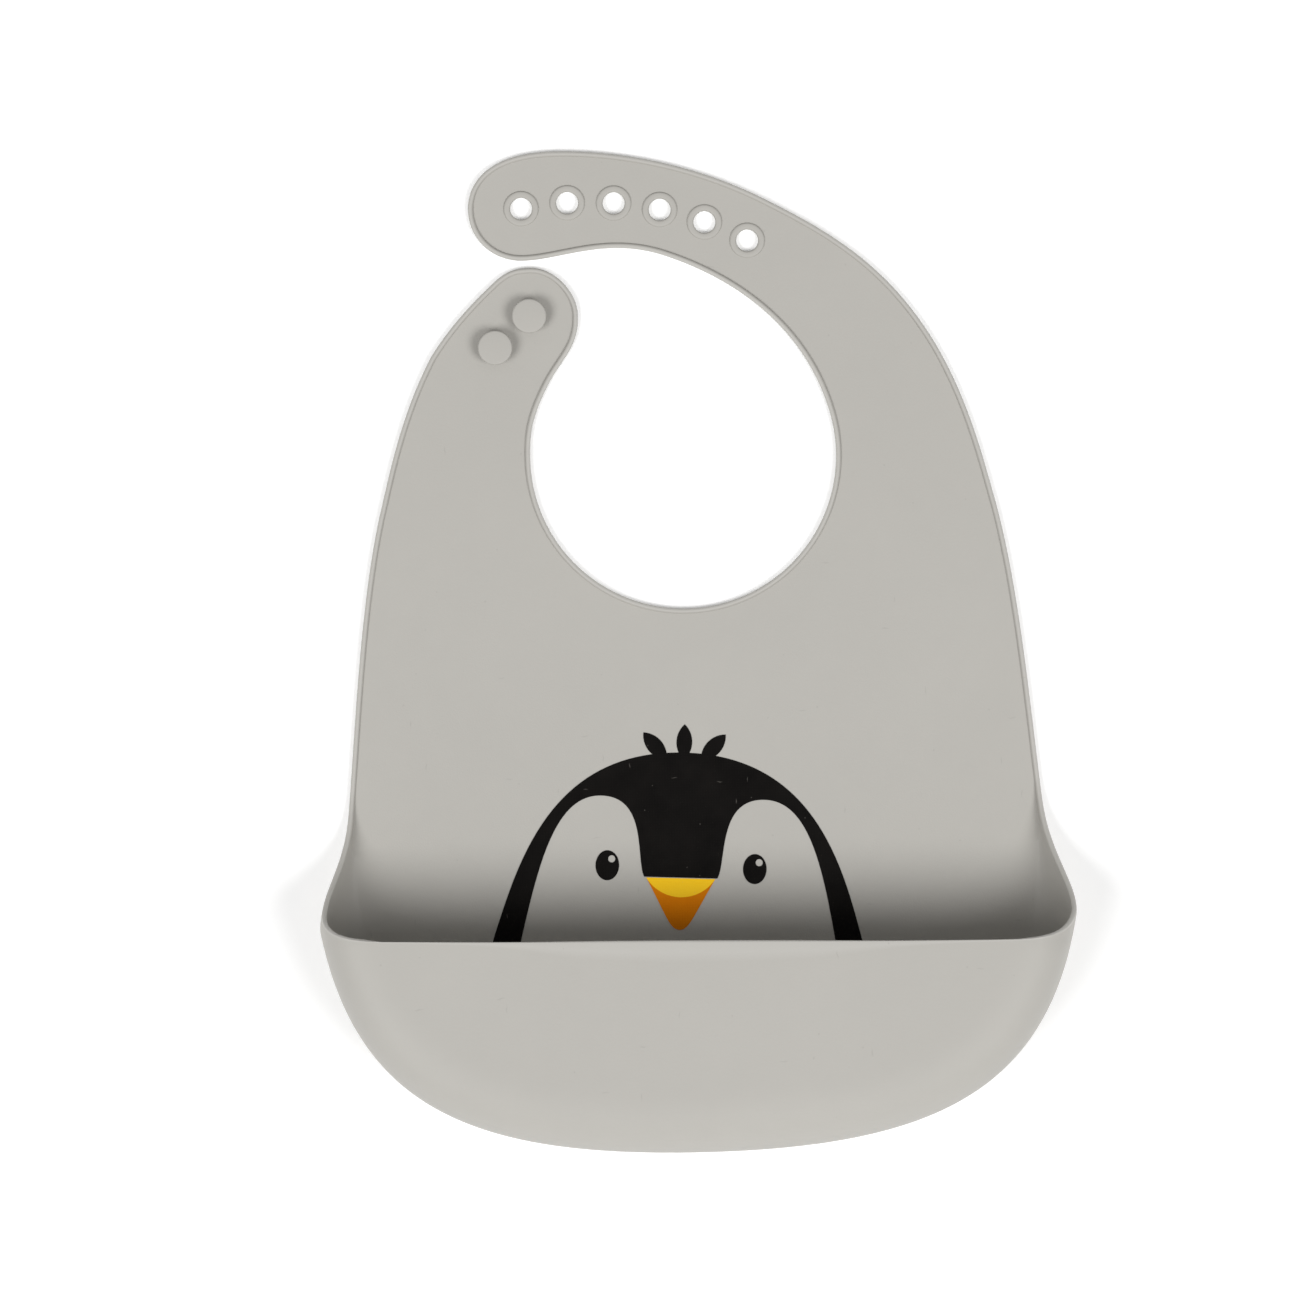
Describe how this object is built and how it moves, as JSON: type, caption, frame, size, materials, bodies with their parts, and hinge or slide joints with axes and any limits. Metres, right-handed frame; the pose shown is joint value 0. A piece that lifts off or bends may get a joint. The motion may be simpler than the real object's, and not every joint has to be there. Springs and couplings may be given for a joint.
{
  "type": "silicone bib",
  "caption": "Soft silicone bib with a deep catch pocket and two neck straps, one with round holes and one with button studs, lying on its back.",
  "frame": {"origin": "centre of the bib's outline, on the flat back face that it lies on", "axes": "+Y from the catch pocket to the neck straps, +X across to the strap with the holes, +Z out of the front of the bib"},
  "size_m": [0.2304, 0.3068, 0.044],
  "materials": {
    "silicone": "matt moulded silicone, warm light grey",
    "black_ink": "silicone ink, matt black",
    "yellow_ink": "silicone ink, warm yellow",
    "orange_ink": "silicone ink, deep orange"
  },
  "bodies": {
    "bib": {"bib_panel": "silicone", "catch_pocket": "silicone", "print_hood": "black_ink", "left_eye": "black_ink", "right_eye": "black_ink", "beak_upper": "yellow_ink", "beak_lower": "orange_ink"},
    "strap_root": {"hole_strap_root": "silicone"},
    "strap_mid": {"hole_strap_mid": "silicone", "eyelet_4": "silicone", "eyelet_5": "silicone", "eyelet_6": "silicone"},
    "strap_tip": {"hole_strap_tip": "silicone", "eyelet_1": "silicone", "eyelet_2": "silicone", "eyelet_3": "silicone"},
    "stud_tab": {"stud_strap": "silicone", "upper_stud": "silicone", "lower_stud": "silicone"}
  },
  "joints": [
    {"name": "hole_strap_root_flex", "type": "hinge", "parent": "bib", "child": "strap_root", "pos_m": [0.05098, 0.09945, 0.0026], "axis": [0.7627, 0.6468, 0], "range_deg": [0, 35], "stiffness_Nm_per_rad": 0.0006},
    {"name": "hole_strap_mid_flex", "type": "hinge", "parent": "strap_root", "child": "strap_mid", "pos_m": [0.02948, 0.11878, 0.0026], "axis": [0.5619, 0.8272, 0], "range_deg": [0, 35], "stiffness_Nm_per_rad": 0.0006},
    {"name": "hole_strap_tip_flex", "type": "hinge", "parent": "strap_mid", "child": "strap_tip", "pos_m": [-0.0131, 0.13583, 0.0026], "axis": [0.1643, 0.9864, 0], "range_deg": [0, 35], "stiffness_Nm_per_rad": 0.0006},
    {"name": "stud_strap_flex", "type": "hinge", "parent": "bib", "child": "stud_tab", "pos_m": [-0.06369, 0.07591, 0.0026], "axis": [0.9659, -0.2588, 0], "range_deg": [0, 40], "stiffness_Nm_per_rad": 0.0006}
  ],
  "couplings": [
    {"joint": "hole_strap_mid_flex", "follows": "hole_strap_root_flex", "ratio": 1},
    {"joint": "hole_strap_tip_flex", "follows": "hole_strap_root_flex", "ratio": 1}
  ]
}
